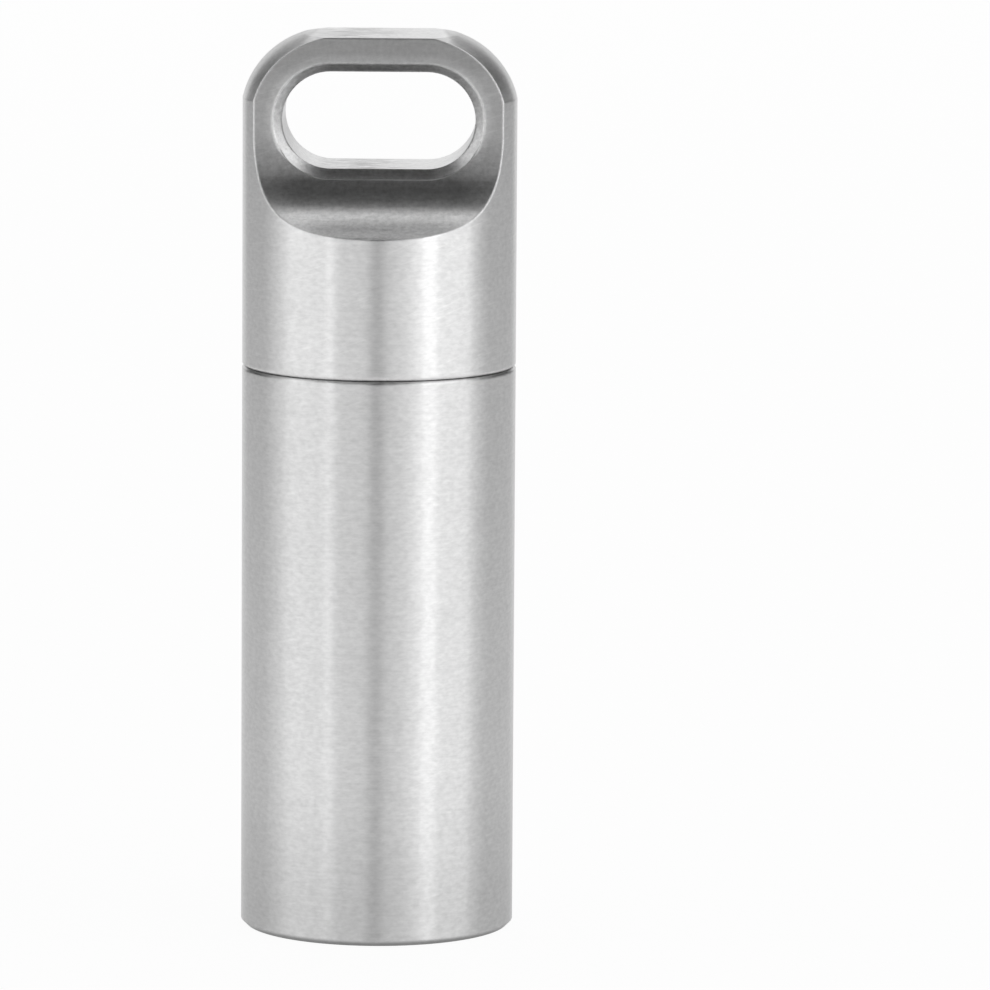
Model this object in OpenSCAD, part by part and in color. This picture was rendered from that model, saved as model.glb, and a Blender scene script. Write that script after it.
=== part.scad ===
// A turned steel pill capsule for a key ring: a tube, and a threaded cap with two seal rings on its plug.
// It stands on its base, with the origin at the base's centre and the key loop's flat cheeks facing -Y and
// +Y. It is drawn closed. Lengths are in millimetres.

/* [Case] */
// Outside diameter of the tube and the cap
case_d = 17; // [14:0.5:22]
// Height of the tube, from its base to its rim
tube_len = 35.15; // [28:0.5:60]
// Height of the cap's visible part, from the seam to its top
head_len = 20.6; // [17:0.2:30]
// Thickness of the tube's wall beside the seals
wall_t = 2.35; // [1.9:0.05:3]
// Thickness of the tube's floor
floor_t = 2; // [1:0.25:5]
// Radius between the tube's floor and its bore
floor_round = 0.8; // [0.2:0.1:2]
// Chamfer round the base
base_chamfer = 0.3; // [0.1:0.05:1]
// Small chamfer on the two edges that meet at the seam
seam_chamfer = 0.12; // [0.05:0.01:0.3]

/* [Key loop] */
// Thickness of the loop, between its two flat cheeks
loop_t = 7.2; // [5:0.2:9]
// Radius of the scoop that runs from each cheek out to the round body
scoop_r = 6.1; // [5.5:0.1:9]
// Height of the slot for the key ring
slot_h = 6; // [4:0.2:7.2]
// Metal left over the slot
top_bar = 2.12; // [1.5:0.1:3.5]
// Metal left on each side of the slot
side_bar = 2.54; // [2:0.1:3.5]
// Height above the slot's floor at which the cheeks start to curve out
scoop_above_floor = 2.2; // [0.5:0.1:4]
// Chamfer round both ends of the slot
slot_chamfer = 0.58; // [0.2:0.02:0.8]
// Radius of the turned corner round the cap's top
corner_r = 5.5; // [5:0.1:8]
// Height of that corner
corner_h = 3.95; // [2:0.05:5]
// Width of that corner, from the side to the flat top
corner_w = 3.63; // [2:0.01:5]

/* [Thread] */
// Pitch of the single-start right-hand thread
pitch = 1.5; // [1.2:0.1:2]
// Length of the thread on the plug
thread_len = 4.2; // [3:0.1:8]
// Plain neck between the cap's shoulder and the thread
neck_len = 0.8; // [0.5:0.1:2]
// Gap between the two threads, along the axis on each flank and across their crests
thread_clear = 0.1; // [0.08:0.01:0.2]

/* [Seals] */
// Section of a seal ring before it is squeezed
ring_section = 1.65; // [1.2:0.05:2.2]
// Share of its section by which a ring is squeezed in its groove
squeeze = 0.15; // [0.08:0.01:0.25]
// Gap left beside a ring in its groove, on each side
groove_side = 0.08; // [0.05:0.01:0.2]
// Width of the ring of metal between the two grooves
mid_land = 0.7; // [0.5:0.1:2]
// Width of the ring of metal below the lower groove
nose_land = 0.8; // [0.5:0.1:2]
// Chamfer round the plug's nose
nose_chamfer = 0.3; // [0.1:0.05:0.4]

/* [Fits] */
// Gap left at the seam when the cap is screwed home
seam_gap = 0.06; // [0.04:0.01:0.2]
// Gap all round between the plug and the bore
plug_clear = 0.1; // [0.05:0.01:0.1]
// Gap between a squeezed ring and the steel inside and outside it
ring_clear = 0.03; // [0.02:0.01:0.05]

/* [Hidden] */
$fn = 96;
// How far a cut runs past the surface that it opens
past = 1;

case_r = case_d / 2;
bore_r = case_r - wall_t;
shoulder_z = tube_len + seam_gap;
top_z = shoulder_z + head_len;

// The thread has 60 degree flanks, with a crest and a root that are each a sixth of the pitch wide
flank = tan(30);
crest_half = pitch / 12;
thread_depth = pitch / 3 / flank;
// Flat facets that stand for one turn of the thread
segments_per_turn = 36;
// A thread's root starts this far behind the cylinder that it stands on or is cut in
thread_sink = 0.12;
// Turns over which the lower end of the tube's thread fades out
fade_turns = 0.3;
// Height that its crest keeps at that end
fade_height = 0.04;
// Most of a pitch that one turn of the tube's thread may take up, so that a web is left between turns
widest_cut = 0.97;
// The tube's mouth is this much larger than its bore, in radius
mouth_relief = 0.05;
// The opening at its rim is this much larger than its thread, in radius
rim_relief = 0.1;
// The plug's neck is this much smaller than the plug, in radius
neck_relief = 0.1;
// The tube's thread runs this far past the end of the plug's thread
thread_runout = 0.15;
// The wider mouth runs this far past the end of the tube's thread
mouth_runout = 0.1;
// Plain bore left between the mouth and the upper groove
bore_land = 0.2;

plug_r = bore_r - plug_clear;
neck_r = plug_r - neck_relief;
male_crest_r = plug_r + thread_depth;
female_crest_r = bore_r + mouth_relief;
// The middle of each facet lies inside its corners, so the corners are moved out to keep the gap
female_root_r = (male_crest_r + thread_clear) / cos(180 / segments_per_turn);
rim_r = female_root_r + rim_relief;
male_top_z = shoulder_z - neck_len;
male_end_z = male_top_z - thread_len;
female_end_z = male_end_z - thread_runout;
fade_end_z = female_end_z - fade_turns * pitch;
// Height at which the plain bore takes over from the wider mouth
mouth_z = fade_end_z - mouth_runout;

ring_t = ring_section * (1 - squeeze) - 2 * ring_clear;
ring_area = PI * pow(ring_section / 2, 2);
ring_w = ring_t + (ring_area - PI * pow(ring_t / 2, 2)) / ring_t;
ring_mid_r = bore_r - ring_clear - ring_t / 2;
groove_r = bore_r - ring_section * (1 - squeeze);
groove_w = ring_w + 2 * groove_side;
upper_groove_z = mouth_z - bore_land - groove_w;
lower_groove_z = upper_groove_z - mid_land - groove_w;
nose_z = lower_groove_z - nose_land;

slot_end_r = slot_h / 2;
slot_mid_z = top_z - top_bar - slot_end_r;
slot_half_run = case_r - side_bar - slot_end_r;
cheek_y = loop_t / 2;
scoop_z = slot_mid_z - slot_end_r + scoop_above_floor;

// The four corners of the thread's section at this angle and height, with its root at in_r and its crest at
// out_r
function helix_ring(angle, z, in_r, in_half, out_r, out_half) = [
    for (p = [[in_r, -in_half], [out_r, -out_half], [out_r, out_half], [in_r, in_half]])
        [p[0] * cos(angle), p[0] * sin(angle), z + p[1]]
];

// How much of its full height the thread has at this many turns from its faded end
function faded(turns) = min(1, turns / fade_turns);

// One thread as a closed band of flat facets. It climbs one pitch a turn, counter-clockwise seen from above,
// and its middle passes angle 0 at height 0. Where fade_low is true, its lower end sinks away.
module thread_band(from_z, to_z, in_r, in_half, out_r, out_half, fade_low) {
    first = floor(from_z / pitch * segments_per_turn);
    last = ceil(to_z / pitch * segments_per_turn);
    count = last - first;
    low_r = in_r + fade_height;
    points = [
        for (i = [0 : count])
            let (share = fade_low ? faded(i / segments_per_turn) : 1)
            each helix_ring(
                (first + i) * 360 / segments_per_turn,
                (first + i) * pitch / segments_per_turn,
                in_r, in_half, low_r + (out_r - low_r) * share, out_half
            )
    ];
    sides = [
        for (i = [0 : count - 1], k = [0 : 3])
            let (a = 4 * i + k, b = 4 * i + (k + 1) % 4)
            each [[a, b, b + 4], [a, b + 4, a + 4]]
    ];
    ends = [[3, 2, 1, 0], [for (k = [0 : 3]) 4 * count + k]];
    polyhedron(points = points, faces = concat(sides, ends));
}

// Half of a thread's width at a radius, with extra room beside each flank
function half_width(r, room) = crest_half + (male_crest_r - r) * flank + room;

module male_thread() {
    in_r = plug_r - thread_sink;
    chamfer_h = thread_depth + 2 * thread_sink;
    intersection() {
        thread_band(
            male_end_z - pitch, male_top_z + pitch,
            in_r, half_width(in_r, 0), male_crest_r, half_width(male_crest_r, 0), false
        );
        union() {
            translate([0, 0, male_end_z]) {
                cylinder(h = chamfer_h, r1 = plug_r - thread_sink, r2 = male_crest_r + thread_sink);
            }
            translate([0, 0, male_end_z + chamfer_h]) {
                cylinder(h = thread_len - chamfer_h, r = male_crest_r + thread_sink);
            }
        }
    }
}

module female_thread_cut() {
    in_r = female_crest_r - thread_sink;
    in_half = min(half_width(in_r, thread_clear), widest_cut * pitch / 2);
    thread_band(
        fade_end_z, tube_len + pitch,
        in_r, in_half, female_root_r, half_width(female_root_r, thread_clear), true
    );
}

module case_tube() {
    color("silver")
    difference() {
        tube_outside();
        tube_bore();
        // The mouth is wider for the thread
        translate([0, 0, mouth_z]) {
            cylinder(h = tube_len + past - mouth_z, r = female_crest_r);
        }
        // Lead-in cone at the rim
        translate([0, 0, tube_len - (rim_r - bore_r)]) {
            cylinder(h = rim_r - bore_r + past, r1 = bore_r, r2 = rim_r + past);
        }
        female_thread_cut();
    }
}

module tube_outside() {
    rotate_extrude() {
        polygon([
            [0, 0],
            [case_r - base_chamfer, 0],
            [case_r, base_chamfer],
            [case_r, tube_len - seam_chamfer],
            [case_r - seam_chamfer, tube_len],
            [0, tube_len]
        ]);
    }
}

module tube_bore() {
    translate([0, 0, floor_t + floor_round]) {
        cylinder(h = tube_len, r = bore_r);
    }
    translate([0, 0, floor_t]) {
        cylinder(h = 2 * floor_round, r = bore_r - floor_round);
    }
    translate([0, 0, floor_t + floor_round]) {
        rotate_extrude() {
            translate([bore_r - floor_round, 0]) {
                circle(r = floor_round);
            }
        }
    }
}

// The cap's head before it is milled: a round bar with a turned corner of a large radius
module head_blank() {
    rotate_extrude() {
        intersection() {
            polygon([
                [0, shoulder_z],
                [case_r - seam_chamfer, shoulder_z],
                [case_r, shoulder_z + seam_chamfer],
                [case_r, top_z],
                [0, top_z]
            ]);
            head_corner_mask();
        }
    }
}

// Everything inside the turned corner, which is an arc from the head's side to its flat top
module head_corner_mask() {
    chord = norm([corner_w, corner_h]);
    rise = sqrt(pow(corner_r, 2) - pow(chord / 2, 2));
    arc_x = case_r - corner_w / 2 - rise * corner_h / chord;
    arc_z = top_z - corner_h / 2 - rise * corner_w / chord;
    translate([arc_x, arc_z]) {
        circle(r = corner_r);
    }
    translate([0, shoulder_z - past]) {
        square([case_r + past, head_len - corner_h + past]);
    }
    square([case_r - corner_w, top_z + past]);
}

// Milled away in front of one cheek: the flat and the scoop below it
module scoop_cut() {
    reach = case_r + past;
    translate([-reach, -cheek_y - reach, scoop_z]) {
        cube([2 * reach, reach, top_z - scoop_z + past]);
    }
    translate([-reach, -cheek_y - scoop_r, scoop_z]) {
        rotate([0, 90, 0]) {
            cylinder(h = 2 * reach, r = scoop_r);
        }
    }
}

// A bar with round ends along Y, from y to y + depth, growing from radius r1 to radius r2
module slot_bar(y, depth, r1, r2) {
    for (side = [-1, 1]) {
        translate([side * slot_half_run, y, slot_mid_z]) {
            rotate([-90, 0, 0]) {
                cylinder(h = depth, r1 = r1, r2 = r2);
            }
        }
    }
    translate([-slot_half_run, 0, slot_mid_z]) {
        rotate([90, 0, 90]) {
            linear_extrude(height = 2 * slot_half_run) {
                polygon([[y, -r1], [y + depth, -r2], [y + depth, r2], [y, r1]]);
            }
        }
    }
}

module slot_cut() {
    reach = case_r + past;
    wide_r = slot_end_r + slot_chamfer;
    slot_bar(-reach, 2 * reach, slot_end_r, slot_end_r);
    for (turn = [0, 180]) {
        rotate([0, 0, turn]) {
            slot_bar(cheek_y - slot_chamfer, slot_chamfer, slot_end_r, wide_r);
            slot_bar(cheek_y, reach - cheek_y, wide_r, wide_r);
        }
    }
}

module plug() {
    translate([0, 0, male_top_z]) {
        cylinder(h = neck_len + past, r = neck_r);
    }
    difference() {
        translate([0, 0, nose_z]) {
            plug_bar();
        }
        for (z = [upper_groove_z, lower_groove_z]) {
            translate([0, 0, z]) {
                groove_cut();
            }
        }
    }
    male_thread();
}

// The plug below its neck, with a chamfered nose at height 0
module plug_bar() {
    rotate_extrude() {
        polygon([
            [0, 0],
            [plug_r - nose_chamfer, 0],
            [plug_r, nose_chamfer],
            [plug_r, male_top_z - nose_z],
            [0, male_top_z - nose_z]
        ]);
    }
}

module groove_cut() {
    difference() {
        cylinder(h = groove_w, r = plug_r + past);
        translate([0, 0, -past]) {
            cylinder(h = groove_w + 2 * past, r = groove_r);
        }
    }
}

module threaded_cap() {
    color("lightgray") {
        difference() {
            head_blank();
            scoop_cut();
            rotate([0, 0, 180]) {
                scoop_cut();
            }
            slot_cut();
        }
        plug();
    }
}

// A ring as it sits in its groove, squeezed to flat bands where it presses on the steel
module seal_ring(groove_z) {
    half_flat = (ring_w - ring_t) / 2;
    color("white")
    translate([0, 0, groove_z + groove_w / 2]) {
        rotate_extrude() {
            translate([ring_mid_r, 0]) {
                for (side = [-1, 1]) {
                    translate([0, side * half_flat]) {
                        circle(r = ring_t / 2);
                    }
                }
                square([ring_t, 2 * half_flat], center = true);
            }
        }
    }
}

module upper_seal_ring() {
    seal_ring(upper_groove_z);
}

module lower_seal_ring() {
    seal_ring(lower_groove_z);
}

case_tube();
threaded_cap();
upper_seal_ring();
lower_seal_ring();
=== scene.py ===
"""Pill fob keychain in a white light tent: steel tube, screw-on cap with a key loop, two white seal rings."""

import math

import bpy
from mathutils import Matrix, Vector


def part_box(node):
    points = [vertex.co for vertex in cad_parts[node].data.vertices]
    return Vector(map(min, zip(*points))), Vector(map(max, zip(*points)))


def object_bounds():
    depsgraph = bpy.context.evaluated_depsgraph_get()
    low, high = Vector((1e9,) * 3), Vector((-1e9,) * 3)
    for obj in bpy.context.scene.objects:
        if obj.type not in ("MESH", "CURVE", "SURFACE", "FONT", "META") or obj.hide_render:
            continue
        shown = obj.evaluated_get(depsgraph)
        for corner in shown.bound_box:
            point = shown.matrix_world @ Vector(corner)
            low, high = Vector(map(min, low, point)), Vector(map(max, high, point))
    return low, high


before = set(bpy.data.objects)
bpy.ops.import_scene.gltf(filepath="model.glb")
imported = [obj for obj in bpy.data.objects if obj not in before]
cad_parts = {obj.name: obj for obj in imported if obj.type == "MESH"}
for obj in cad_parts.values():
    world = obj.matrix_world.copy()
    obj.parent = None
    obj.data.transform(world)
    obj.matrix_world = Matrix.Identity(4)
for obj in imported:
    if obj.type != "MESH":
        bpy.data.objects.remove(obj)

CAD_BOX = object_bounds()

MM = 0.001
WHITE = (1, 1, 1, 1)

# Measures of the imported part. A cheek curves out into its scoop at SCOOP_Z, and SLOT_Z is the slot's middle.
TUBE_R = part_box("case_tube")[1].x
SEAM_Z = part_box("case_tube")[1].z
TOP_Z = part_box("threaded_cap")[1].z
CORNER_Z = TOP_Z - 4 * MM
SCOOP_Z = TOP_Z - 5.92 * MM
SLOT_Z = TOP_Z - 5.12 * MM
# Radius of the slot's ends, distance of their centres from its middle, and width of its chamfer.
SLOT_R = 3.0 * MM
SLOT_RUN = 2.96 * MM
SLOT_CHAMFER = 0.6 * MM

# How far a plain edge and a worn one look rounded.
EDGE_R = 0.2 * MM
WORN_R = 0.32 * MM

# Below a roughness of 0.274 Cycles shows the denoiser what the steel reflects and not the steel itself, which
# leaves dotted lines where the two meet, so the steel is rougher than that nearly everywhere.
BRUSHED_ROUGH = 0.305
SOFT_ROUGH = 0.42
CUT_ROUGH = 0.3
CUT_SIDE_ROUGH = 0.36
ROUGH_SPREAD = 0.06
BRUSHED_EDGE_TINT = (0.77, 0.77, 0.77, 1)
CUT_EDGE_TINT = (0.95, 0.95, 0.95, 1)

# How strongly the grain shows in each finish, and how much the steel's tone drifts from place to place.
BRUSHED_GRAIN = 0.34
CHEEK_GRAIN = 0.4
CUT_GRAIN = 0.7
DRIFT = 0.07

# Brightness of each zone of the steel, against plain brushed steel. The cheek top, scoop and foot tones are
# painted shade, and the slot rim and corner tones are painted highlights.
CHEEK_TONE = 0.92
CHEEK_TOP_SHADE_TONE = 0.78
SLOT_RIM_HIGHLIGHT_TONE = 1.2
CORNER_HIGHLIGHT_TONE = 1.4
CORNER_TOP_HIGHLIGHT_TONE = 1.14
SCOOP_SHADE_TONE = 0.72
FLAT_TOP_TONE = 1.05
RUBBED_TONE = 0.42
FOOT_SHADE_TONE = 0.82
FOOT_EDGE_SHADE_TONE = 0.42

# Scales of the noises, in cells to a metre.
LINE_SCALE = 2300.0
STREAK_SCALE = 920.0
CUTTER_SCALE = 900.0
MOTTLE_SCALE = 3600.0
SCRATCH_SCALE = 700.0
SPOT_SCALE = 900.0
DRIFT_SCALE = 420.0
RUBBER_SCALE = 5200.0
SHEEN_SCALE = 1400.0
# How much closer a noise's cells are packed along x, y and z, which draws them out into lines the other way.
LINE_PACKING = (1.0, 1.0, 1.8)
STREAK_PACKING = (0.3, 0.3, 9.0)
CUTTER_PACKING = (1.0, 6.0, 6.0)
SCRATCH_PACKING = (0.5, 0.5, 9.0)
SPOT_PACKING = (0.7, 4.0, 1.0)
SCRATCH_SLANT = -0.35

RUBBER_TONES = (0.88, 0.94)
RUBBER_ROUGH = (0.38, 0.52)

# Camera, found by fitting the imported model's outlines to the photograph.
CAMERA_DISTANCE = 0.5235
CAMERA_AIM_Z = 0.0279
CAMERA_ELEVATION = 8.148
CAMERA_SIDE = 1.458
CAMERA_YAW = -0.655
CAMERA_PITCH = 8.245
CAMERA_ROLL = 0.371
LENS = 305.7
SENSOR = 36.0

# Flags and lamps. Angles are in degrees, and an azimuth is 0 towards the camera and positive to its right.
FLAG_R = 0.8
FLAG_FOOT = -2
ARCH_END = 87.5
SIDE_FLAG_TOP = 52
NO_FADE = (0.99, 1)
SIDE_FADE = (0.4, 0.2)
GREY_CLOTH = 0.05
BLACK_CLOTH = 0.0
LAMP_R = 1.0
LAMP_RISES = (0, 60)

FLOOR_REACH = 3.0
PAPER = (0.95, 0.95, 0.95, 1)
PAPER_GLOW = 0.95


def around(azimuth, elevation, radius):
    """The point at this azimuth, elevation and distance from the middle of the case."""
    a, e = math.radians(azimuth), math.radians(elevation)
    flat = radius * math.cos(e)
    return Vector((flat * math.sin(a), -flat * math.cos(a), CAMERA_AIM_Z + radius * math.sin(e)))


def add_camera():
    """The camera at the photograph's viewing angle."""
    data = bpy.data.cameras.new("camera")
    data.sensor_width, data.lens = SENSOR, LENS
    data.clip_start, data.clip_end = 0.01, 10.0
    yaw, pitch, roll = (math.radians(v) for v in (CAMERA_YAW, CAMERA_PITCH, CAMERA_ROLL))
    ahead = Vector((math.sin(yaw) * math.cos(pitch), math.cos(yaw) * math.cos(pitch), -math.sin(pitch)))
    level = ahead.cross(Vector((0, 0, 1))).normalized()
    right = level * math.cos(roll) + level.cross(ahead) * math.sin(roll)
    up = right.cross(ahead)
    turn = Matrix((right, up, -ahead)).transposed().to_4x4()
    camera = bpy.data.objects.new("camera", data)
    camera.matrix_world = Matrix.Translation(around(CAMERA_SIDE, CAMERA_ELEVATION, CAMERA_DISTANCE)) @ turn
    bpy.context.scene.collection.objects.link(camera)
    bpy.context.scene.camera = camera


class Graph:
    """Short calls that add shader nodes to one node tree."""

    def __init__(self, tree):
        self.tree = tree
        tree.nodes.clear()

    def add(self, kind, inputs=None, **settings):
        """A node of this kind; inputs may hold sockets to link or plain values."""
        made = self.tree.nodes.new(kind)
        for name, value in settings.items():
            setattr(made, name, value)
        for name, value in (inputs or {}).items():
            if isinstance(value, bpy.types.NodeSocket):
                self.tree.links.new(value, made.inputs[name])
            else:
                made.inputs[name].default_value = value
        return made

    def math(self, operation, *values):
        return self.add("ShaderNodeMath", dict(enumerate(values)), operation=operation).outputs[0]

    def product(self, first, *others):
        for other in others:
            first = self.math("MULTIPLY", first, other)
        return first

    def rest(self, value):
        """What is left of 1 after this value."""
        return self.math("SUBTRACT", 1.0, value)

    def distance(self, a, b):
        return self.math("ABSOLUTE", self.math("SUBTRACT", a, b))

    def vary(self, base, value, spread):
        """base, raised by spread times what value has over 0.5, or lowered by what it lacks."""
        return self.math("MULTIPLY_ADD", self.math("SUBTRACT", value, 0.5), spread, base)

    def join(self, x, y, z):
        return self.add("ShaderNodeCombineXYZ", {"X": x, "Y": y, "Z": z}).outputs[0]

    def split(self, vector):
        return self.add("ShaderNodeSeparateXYZ", {"Vector": vector}).outputs

    def pack(self, vector, packing):
        """The vector with its x, y and z multiplied by the three factors of this packing."""
        return self.add("ShaderNodeVectorMath", {0: vector, 1: packing}, operation="MULTIPLY").outputs[0]

    def ramp(self, value, low, high, to_low=0.0, to_high=1.0):
        """A smooth step from to_low at low to to_high at high."""
        inputs = {"Value": value, "From Min": low, "From Max": high, "To Min": to_low, "To Max": to_high}
        return self.add("ShaderNodeMapRange", inputs, interpolation_type="SMOOTHSTEP").outputs[0]

    def noise(self, vector, scale, detail=2.0, roughness=0.5):
        inputs = {"Vector": vector, "Scale": scale, "Detail": detail, "Roughness": roughness}
        return self.add("ShaderNodeTexNoise", inputs).outputs["Fac"]

    def blend(self, factor, a, b):
        """a where factor is 0 and b where it is 1, for plain numbers."""
        return self.add("ShaderNodeMix", {0: factor, 2: a, 3: b}, data_type="FLOAT").outputs[0]

    def blend_vector(self, factor, a, b):
        return self.add("ShaderNodeMix", {0: factor, 4: a, 5: b}, data_type="VECTOR").outputs[1]

    def grey(self, value):
        return self.add("ShaderNodeCombineColor", {"Red": value, "Green": value, "Blue": value}).outputs[0]


def new_material(name):
    material = bpy.data.materials.new(name)
    material.use_nodes = True
    return material, Graph(material.node_tree)


def lit_white(g, colour, share):
    """A diffuse surface that takes the case's shadow, but looks mostly white to the camera and in metal.

    share is how much of what they see is plain white."""
    path = g.add("ShaderNodeLightPath").outputs
    seen = g.math("MAXIMUM", path["Is Camera Ray"], path["Is Glossy Ray"])
    seen = g.math("MAXIMUM", seen, path["Is Transmission Ray"])
    diffuse = g.add("ShaderNodeBsdfDiffuse", {"Color": colour}).outputs[0]
    white = g.add("ShaderNodeEmission", {"Color": WHITE, "Strength": 1.0}).outputs[0]
    mixed = g.add("ShaderNodeMixShader", {0: g.product(seen, share), 1: diffuse, 2: white}).outputs[0]
    g.add("ShaderNodeOutputMaterial", {"Surface": mixed})


def add_floor():
    """The pale floor, level with the foot of the case."""
    mesh = bpy.data.meshes.new("floor")
    corners = [(-1, -1), (1, -1), (1, 1), (-1, 1)]
    points = [(x * FLOOR_REACH, y * FLOOR_REACH, CAD_BOX[0].z) for x, y in corners]
    mesh.from_pydata(points, [], [(0, 1, 2, 3)])
    material, g = new_material("floor_paper")
    lit_white(g, PAPER, PAPER_GLOW)
    mesh.materials.append(material)
    floor = bpy.data.objects.new("floor", mesh)
    bpy.context.scene.collection.objects.link(floor)


def add_tent():
    """The white walls of the light tent, as a plain white world."""
    world = bpy.data.worlds.new("white_tent")
    world.use_nodes = True
    g = Graph(world.node_tree)
    white = g.add("ShaderNodeBackground", {"Color": WHITE, "Strength": 1.0}).outputs[0]
    g.add("ShaderNodeOutputWorld", {"Surface": white})
    bpy.context.scene.world = world


def over(side, rise, radius):
    """The point at this angle to the side of an arch that runs up from the front and over the case."""
    s, r = math.radians(side), math.radians(rise)
    front = Vector((math.sin(s), -math.cos(s) * math.cos(r), math.cos(s) * math.sin(r)))
    return front * radius + Vector((0, 0, CAMERA_AIM_Z))


def curved_grid(name, point_at, sides, rises):
    """A grid on the flags' sphere, with how far across and upward each point is, 0 to 1, as attributes."""
    left, right = sides
    low, high = rises
    columns, rows = 24, 16
    points, faces = [], []
    for j in range(rows + 1):
        for i in range(columns + 1):
            side = left + (right - left) * i / columns
            points.append(point_at(side, low + (high - low) * j / rows, FLAG_R))
    for j in range(rows):
        for i in range(columns):
            a = j * (columns + 1) + i
            faces.append((a, a + 1, a + columns + 2, a + columns + 1))
    mesh = bpy.data.meshes.new(name)
    mesh.from_pydata(points, [], faces)
    across = mesh.attributes.new("across", "FLOAT", "POINT")
    upward = mesh.attributes.new("upward", "FLOAT", "POINT")
    for n in range(len(points)):
        across.data[n].value = (n % (columns + 1)) / columns
        upward.data[n].value = (n // (columns + 1)) / rows
    return mesh


def add_flag(name, point_at, sides, rises, density, fade, tone):
    """A dark cloth flag round or over the case, which the steel shows as a dark band.

    density pairs a place across the flag, 0 to 1 from its left edge, with the share of light it hides there.
    fade is where up its height it starts to thin, 0 to 1, and the part of its density left at the top.
    tone is how bright the cloth itself is."""
    mesh = curved_grid(name, point_at, sides, rises)
    material, g = new_material(name)
    across = g.add("ShaderNodeAttribute", attribute_name="across").outputs["Fac"]
    upward = g.add("ShaderNodeAttribute", attribute_name="upward").outputs["Fac"]
    thinning, left_at_top = fade
    thinned = g.ramp(upward, thinning, 1.0, 1.0, left_at_top)
    hidden = g.product(density_curve(g, across, density), thinned)
    clear = g.add("ShaderNodeBsdfTransparent").outputs[0]
    cloth = g.add("ShaderNodeEmission", {"Color": WHITE, "Strength": tone}).outputs[0]
    mixed = g.add("ShaderNodeMixShader", {0: hidden, 1: clear, 2: cloth}).outputs[0]
    g.add("ShaderNodeOutputMaterial", {"Surface": mixed})
    mesh.materials.append(material)
    flag = bpy.data.objects.new(name, mesh)
    flag.visible_camera = False
    bpy.context.scene.collection.objects.link(flag)


def density_curve(g, across, density):
    """A curve through (place, density) pairs, straight between them."""
    curve = g.add("ShaderNodeFloatCurve", {"Value": across})
    line = curve.mapping.curves[0]
    ends = (line.points[0], line.points[-1])
    ends[0].location, ends[1].location = density[0], density[-1]
    for pair in density[1:-1]:
        line.points.new(*pair)
    for point in line.points:
        point.handle_type = "VECTOR"
    curve.mapping.update()
    return curve.outputs[0]


def add_lamp(name, azimuth, degrees, radiance):
    """A tall soft lamp that faces the case from outside the flags and is this many degrees wide."""
    low, high = LAMP_RISES
    middle = around(azimuth, (low + high) / 2, LAMP_R)
    data = bpy.data.lights.new(name, "AREA")
    data.shape = "RECTANGLE"
    data.size = 2 * LAMP_R * math.tan(math.radians(degrees / 2))
    data.size_y = 2 * LAMP_R * math.tan(math.radians((high - low) / 2))
    data.energy = radiance * math.pi * data.size * data.size_y
    lamp = bpy.data.objects.new(name, data)
    lamp.location = middle
    facing = Vector((0, 0, CAMERA_AIM_Z)) - middle
    lamp.rotation_mode = "QUATERNION"
    lamp.rotation_quaternion = facing.to_track_quat("-Z", "Y")
    lamp.visible_camera = False
    bpy.context.scene.collection.objects.link(lamp)


def add_light():
    """The light tent: white walls, four soft lamps, and dark flags before, over and behind the case."""
    add_tent()
    slit = [(0, 0.06), (0.47, 0.26), (0.565, 1), (0.66, 1), (0.74, 0.35), (1, 0.05)]
    add_flag("camera_slit", over, (-38.5, 24), (FLAG_FOOT, ARCH_END), slit, NO_FADE, GREY_CLOTH)
    above = [(0, 0.1), (0.2, 1), (0.76, 1), (1, 0.05)]
    add_flag("top_flag", over, (-52, 42), (42, ARCH_END), above, NO_FADE, BLACK_CLOTH)
    side_rises = (FLAG_FOOT, SIDE_FLAG_TOP)
    left = [(0, 0.1), (0.13, 1), (0.65, 1), (1, 0.1)]
    add_flag("left_flag", around, (-156, -86), side_rises, left, SIDE_FADE, BLACK_CLOTH)
    right = [(0, 0.05), (0.28, 1), (0.88, 1), (1, 0.2)]
    add_flag("right_flag", around, (84, 160), side_rises, right, SIDE_FADE, BLACK_CLOTH)
    add_lamp("left_strip", -40.5, 8, 0.85)
    add_lamp("left_fill", -63, 42, 0.35)
    add_lamp("right_strip", 45, 14, 0.95)
    add_lamp("right_fill", 57, 60, 0.5)


def slot_distance(g, x, z):
    """Distance outward from the key slot's edge, seen from the front."""
    along = g.math("MAXIMUM", g.math("SUBTRACT", g.math("ABSOLUTE", x), SLOT_RUN), 0.0)
    up = g.math("SUBTRACT", z, SLOT_Z)
    square = g.math("ADD", g.product(along, along), g.product(up, up))
    return g.math("SUBTRACT", g.math("SQRT", square), SLOT_R)


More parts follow.
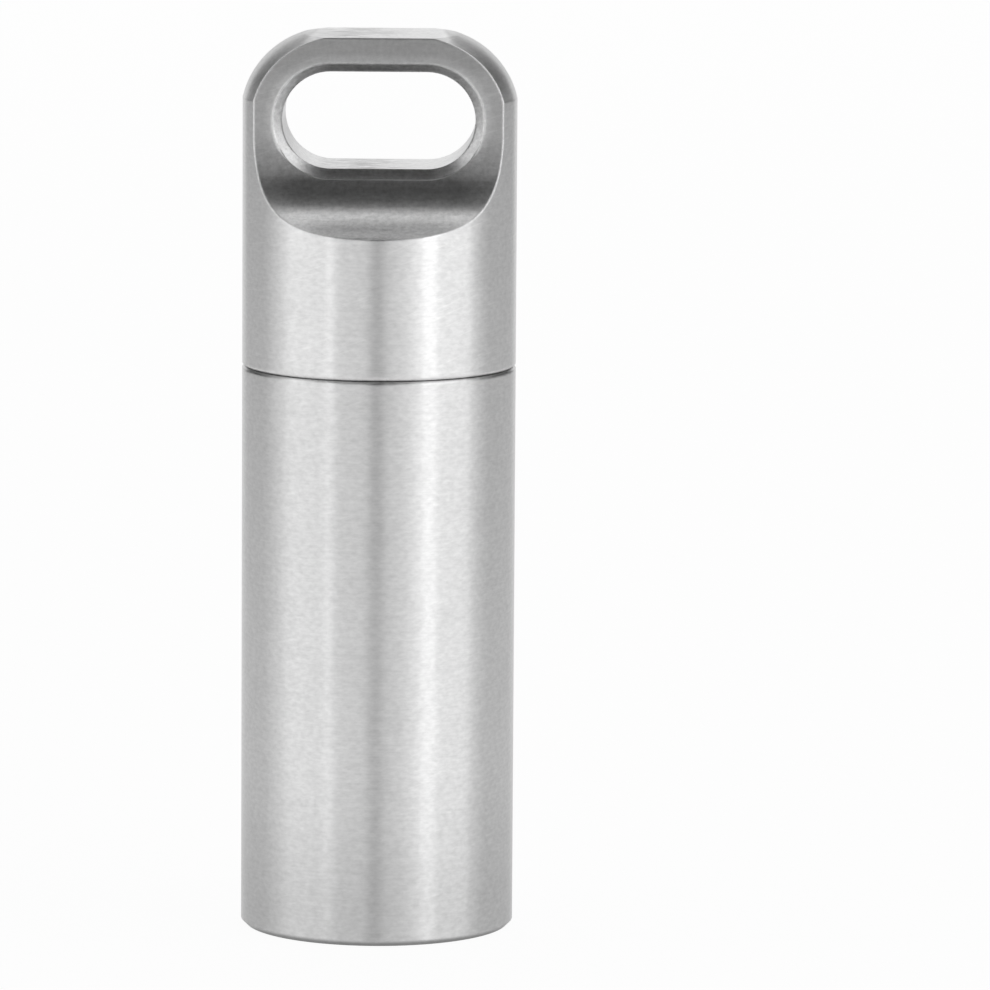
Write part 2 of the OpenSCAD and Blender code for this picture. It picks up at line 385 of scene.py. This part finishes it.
def steel_zones(g, place, normal):
    """Masks from 0 to 1 of the zones of the steel that are finished or worn in their own way."""
    x, y, z = g.split(place)
    _, facing, rising = g.split(normal)
    wide = g.math("ABSOLUTE", x)
    from_axis = g.math("SQRT", g.math("ADD", g.product(x, x), g.product(y, y)))
    from_slot = slot_distance(g, x, z)
    zone = {}
    rounded = g.product(g.ramp(wide, 3 * MM, 5 * MM), g.ramp(rising, 0.05, 0.2))
    zone["corner"] = g.product(rounded, g.ramp(z, CORNER_Z, CORNER_Z + 0.2 * MM))
    cut_in = g.ramp(from_axis, TUBE_R - 0.04 * MM, TUBE_R - 0.12 * MM)
    on_head = g.ramp(z, SEAM_Z + 2 * MM, SEAM_Z + 4 * MM)
    zone["milled"] = g.product(cut_in, on_head, g.rest(zone["corner"]))
    upright = g.ramp(g.math("ABSOLUTE", facing), 0.88, 0.99)
    zone["cheek"] = g.product(zone["milled"], upright, g.ramp(z, SCOOP_Z - 3 * MM, SCOOP_Z))
    zone["flat_top"] = g.ramp(rising, 0.95, 0.99)
    chamfer = g.ramp(from_slot, SLOT_CHAMFER, SLOT_CHAMFER - 0.1 * MM)
    slot_end = g.product(chamfer, g.ramp(wide, 3 * MM, 4 * MM))
    out_of_slot = g.ramp(from_slot, -0.05 * MM, 0.1 * MM)
    upper = g.ramp(z, SCOOP_Z - 4 * MM, SCOOP_Z - 3 * MM)
    curved = g.rest(g.math("MAXIMUM", zone["cheek"], zone["flat_top"]))
    zone["scoop"] = g.product(zone["milled"], upper, out_of_slot, curved, g.rest(slot_end))
    # Mask for the painted highlight along the slot's chamfer.
    zone["slot_rim"] = g.ramp(g.distance(from_slot, SLOT_CHAMFER), 0.8 * MM, 0.0)
    near_slot = g.product(zone["milled"], g.ramp(from_slot, 1.1 * MM, 0.8 * MM))
    zone["slot_edge"] = g.product(near_slot, g.ramp(z, SLOT_Z - 2.8 * MM, SLOT_Z - 1.6 * MM))
    zone["skin"] = g.ramp(from_axis, TUBE_R - 0.8 * MM, TUBE_R - 0.4 * MM)
    return zone


def steel_grain(g, place, milled):
    """Fine lines and longer streaks round the case, or cutter marks where it is milled, about 0 to 1."""
    lines = g.product(g.noise(g.pack(place, LINE_PACKING), LINE_SCALE), 0.75)
    streaks = g.product(g.noise(g.pack(place, STREAK_PACKING), STREAK_SCALE), 0.25)
    brushed = g.math("ADD", lines, streaks)
    marks = g.product(g.noise(g.pack(place, CUTTER_PACKING), CUTTER_SCALE, 3.0, 0.6), 0.4)
    cut = g.math("ADD", marks, g.product(g.noise(place, MOTTLE_SCALE, 2.0, 0.6), 0.6))
    return g.blend(milled, brushed, cut)


def scratches(g, place):
    """Sparse fine scratches, slanted from the grain, 1 on a scratch and 0 between them."""
    x, y, z = g.split(place)
    slanted = g.join(x, y, g.math("ADD", z, g.product(x, SCRATCH_SLANT)))
    field = g.noise(g.pack(slanted, SCRATCH_PACKING), SCRATCH_SCALE, 1.0)
    return g.ramp(field, 0.62, 0.72)


def steel_tone(g, place, zone, grain, bright, scratched):
    """The steel's brightness, from its grain, each zone's finish and rubbed wear on the top, with painted
    shade at the cheek tops, in the scoop and towards the foot, and painted highlights on the slot rim and the
    corner.
    """
    x, _, z = g.split(place)
    contrast = g.blend(zone["milled"], BRUSHED_GRAIN, g.blend(zone["cheek"], CUT_GRAIN, CHEEK_GRAIN))
    tone = g.vary(bright, grain, contrast)
    tone = g.vary(tone, g.noise(place, DRIFT_SCALE, 4.0, 0.6), DRIFT)
    tone = g.math("MULTIPLY_ADD", scratches(g, place), scratched, tone)
    # Painted shade: the cheek is darkened towards the top of the key loop.
    cheek = g.ramp(z, TOP_Z - 3 * MM, TOP_Z - 1.5 * MM, CHEEK_TONE, CHEEK_TOP_SHADE_TONE)
    # Painted highlight: the cheek is brightened near the slot's chamfer.
    cheek = g.product(cheek, g.ramp(zone["slot_rim"], 0.0, 1.0, 1.0, SLOT_RIM_HIGHLIGHT_TONE))
    # Painted highlight: the turned corner is brightened, most at its lower edge.
    corner = g.ramp(z, CORNER_Z, CORNER_Z + 1.5 * MM, CORNER_HIGHLIGHT_TONE, CORNER_TOP_HIGHLIGHT_TONE)
    tone = g.product(tone, g.blend(zone["cheek"], 1.0, cheek), g.blend(zone["corner"], 1.0, corner))
    # Painted shade: the recessed scoop is darkened.
    tone = g.product(tone, g.blend(zone["scoop"], 1.0, SCOOP_SHADE_TONE))
    spots = g.noise(g.pack(place, SPOT_PACKING), SPOT_SCALE, 3.0, 0.6)
    by_middle = g.ramp(g.distance(x, -1.3 * MM), 4 * MM, 0.5 * MM)
    rubbed = g.product(zone["flat_top"], g.ramp(spots, 0.42, 0.62), by_middle)
    # Painted shade: darker towards the foot, and much darker along the foot's edge, like the floor's shadow
    # seen in the steel.
    foot = g.ramp(z, 0.0, 12 * MM, FOOT_SHADE_TONE, 1.0)
    foot = g.product(foot, g.ramp(z, 0.12 * MM, 0.42 * MM, FOOT_EDGE_SHADE_TONE, 1.0))
    return g.product(tone, g.blend(rubbed, FLAT_TOP_TONE, RUBBED_TONE), foot)


def edge_radius(g, place, zone):
    """How far the edges are rounded: most at the slot and the seam's middle, and not at all in the scoops."""
    x, _, z = g.split(place)
    at_seam = g.ramp(g.distance(z, SEAM_Z), 0.7 * MM, 0.4 * MM)
    at_seam = g.product(at_seam, g.ramp(g.math("ABSOLUTE", x), 1.5 * MM, 4 * MM, 0.7, 0.25))
    worn = g.math("MAXIMUM", at_seam, zone["slot_edge"])
    radius = g.math("MULTIPLY_ADD", worn, WORN_R - EDGE_R, EDGE_R)
    by_edge = g.math("MAXIMUM", zone["slot_edge"], zone["skin"])
    by_edge = g.math("MAXIMUM", by_edge, g.ramp(z, SCOOP_Z - 0.5 * MM, SCOOP_Z))
    return g.product(radius, by_edge)


def steel(name, bright, scratched):
    """Stainless steel, brushed round the case outside and milled inside the key loop's cuts."""
    material, g = new_material(name)
    coords = g.add("ShaderNodeTexCoord").outputs
    place = coords["Object"]
    zone = steel_zones(g, place, coords["Normal"])
    grain = steel_grain(g, place, zone["milled"])
    tone = g.grey(steel_tone(g, place, zone, grain, bright, scratched))
    softer = g.math("MAXIMUM", zone["cheek"], zone["corner"])
    brushed_rough = g.vary(g.blend(softer, BRUSHED_ROUGH, SOFT_ROUGH), grain, ROUGH_SPREAD)
    wide = g.math("ABSOLUTE", g.split(place)[0])
    cut_rough = g.ramp(wide, 4.5 * MM, 7.5 * MM, CUT_ROUGH, CUT_SIDE_ROUGH)
    cut_rough = g.vary(cut_rough, grain, ROUGH_SPREAD)
    rounded = g.add("ShaderNodeBevel", {"Radius": edge_radius(g, place, zone)}, samples=6).outputs[0]
    bump_inputs = {"Strength": 0.3, "Distance": 0.004 * MM, "Height": grain, "Normal": rounded}
    bump = g.add("ShaderNodeBump", bump_inputs).outputs[0]
    shared = {"Base Color": tone, "Metallic": 1.0, "Normal": bump}

    ring_way = g.add("ShaderNodeTangent", direction_type="RADIAL", axis="Z").outputs[0]
    to_world = {"vector_type": "VECTOR", "convert_from": "OBJECT", "convert_to": "WORLD"}
    cut_way = g.add("ShaderNodeVectorTransform", {"Vector": (1, 0, 0)}, **to_world).outputs[0]
    inputs = {
        "Roughness": brushed_rough,
        "Anisotropic": 0.97,
        "Anisotropic Rotation": 0.25,
        "Specular Tint": BRUSHED_EDGE_TINT,
        "Tangent": g.blend_vector(zone["milled"], ring_way, cut_way),
    }
    brushed = g.add("ShaderNodeBsdfPrincipled", shared | inputs).outputs[0]
    inputs = {"Roughness": cut_rough, "Specular Tint": CUT_EDGE_TINT}
    cut = g.add("ShaderNodeBsdfPrincipled", shared | inputs).outputs[0]
    share = g.product(zone["milled"], g.rest(zone["cheek"]))
    surface = g.add("ShaderNodeMixShader", {0: share, 1: brushed, 2: cut}).outputs[0]
    g.add("ShaderNodeOutputMaterial", {"Surface": surface})
    return material


def silicone(name):
    """White seal rubber with a soft, slightly waxy surface."""
    material, g = new_material(name)
    place = g.add("ShaderNodeTexCoord").outputs["Object"]
    fine = g.noise(place, RUBBER_SCALE, 2.0, 0.6)
    tone = g.ramp(g.noise(place, DRIFT_SCALE, 3.0, 0.5), 0.3, 0.7, *RUBBER_TONES)
    rough = g.ramp(g.noise(place, SHEEN_SCALE), 0.3, 0.7, *RUBBER_ROUGH)
    bump_inputs = {"Strength": 0.3, "Distance": 0.006 * MM, "Height": fine}
    inputs = {
        "Base Color": g.grey(tone),
        "Roughness": rough,
        "Subsurface Weight": 0.25,
        "Subsurface Scale": 0.4 * MM,
        "Normal": g.add("ShaderNodeBump", bump_inputs).outputs[0],
    }
    surface = g.add("ShaderNodeBsdfPrincipled", inputs).outputs[0]
    g.add("ShaderNodeOutputMaterial", {"Surface": surface})
    return material


def dress(nodes, material):
    """Gives these CAD nodes the material in every slot."""
    for name in nodes:
        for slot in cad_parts[name].material_slots:
            slot.material = material


bpy.context.scene.view_settings.view_transform = "Standard"
add_camera()
add_floor()
add_light()
dress(["case_tube"], steel("brushed_tube_steel", bright=0.66, scratched=0.02))
dress(["threaded_cap"], steel("brushed_cap_steel", bright=0.69, scratched=0.04))
dress(["upper_seal_ring", "lower_seal_ring"], silicone("white_silicone"))
